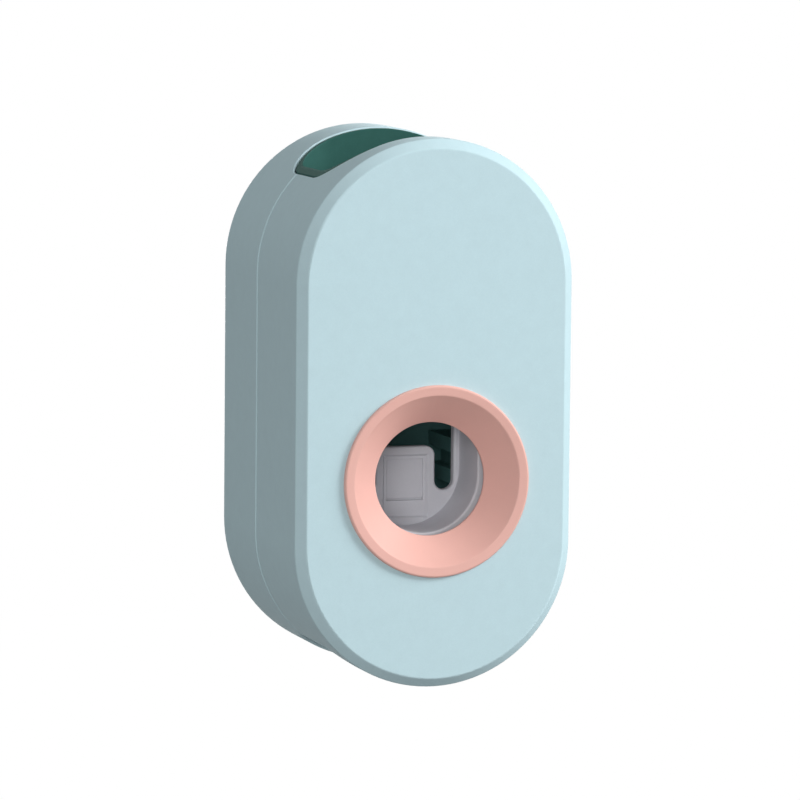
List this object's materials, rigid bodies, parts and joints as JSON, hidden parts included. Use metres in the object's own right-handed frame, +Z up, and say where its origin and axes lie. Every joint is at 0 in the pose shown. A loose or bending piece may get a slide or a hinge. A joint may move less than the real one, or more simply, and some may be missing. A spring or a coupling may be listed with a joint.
{
  "type": "toothpaste dispenser",
  "caption": "Wall-hung toothpaste squeezer: stadium-shaped two-part housing, tube opening on top, funnel ring for the brush, sprung push cup that works a plunger pump.",
  "frame": {"origin": "on the adhesive pad's wall face, level with mid-height of the housing", "axes": "+Z up, +Y into the wall (the front looks along -Y), +X to the right as seen from the front"},
  "size_m": [0.055, 0.0527, 0.105],
  "materials": {
    "shell": "fine satin, pale blue",
    "ring": "satin, salmon pink",
    "cup": "satin, mid grey",
    "core": "satin, dark green",
    "pump": "smooth, natural white",
    "silicone": "soft, milky",
    "steel": "bright zinc",
    "plate": "matte, off white",
    "foam": "closed-cell foam tape"
  },
  "bodies": {
    "wall_mount": {"adhesive_pad": "foam", "wall_plate": "plate"},
    "housing": {"rear_shell": "shell", "core_frame": "core", "frame_screws": "steel", "pump_barrel": "pump", "barrel_screws": "steel", "end_cap": "pump", "end_cap_seal": "silicone", "gland_seal": "silicone", "gland_nut": "pump", "inlet_valve": "silicone", "inlet_seal": "silicone", "tube_collar": "core", "outlet_spout": "silicone", "return_spring": "steel"},
    "cover": {"front_cover": "shell", "trim_ring": "ring"},
    "pusher": {"push_cup": "cup", "plunger": "pump", "plunger_clip": "steel"}
  },
  "joints": [
    {"name": "housing_lift", "type": "slide", "parent": "wall_mount", "child": "housing", "axis": [0, 0, 1], "range_m": [0, 0.0345]},
    {"name": "cover_pull", "type": "slide", "parent": "housing", "child": "cover", "axis": [0, -1, 0], "range_m": [0, 0.045]},
    {"name": "pusher_slide", "type": "slide", "parent": "housing", "child": "pusher", "axis": [0, 1, 0], "range_m": [0, 0.0075], "stiffness_N_per_m": 300, "springref_m": -0.005, "deforming": ["return_spring"]}
  ]
}
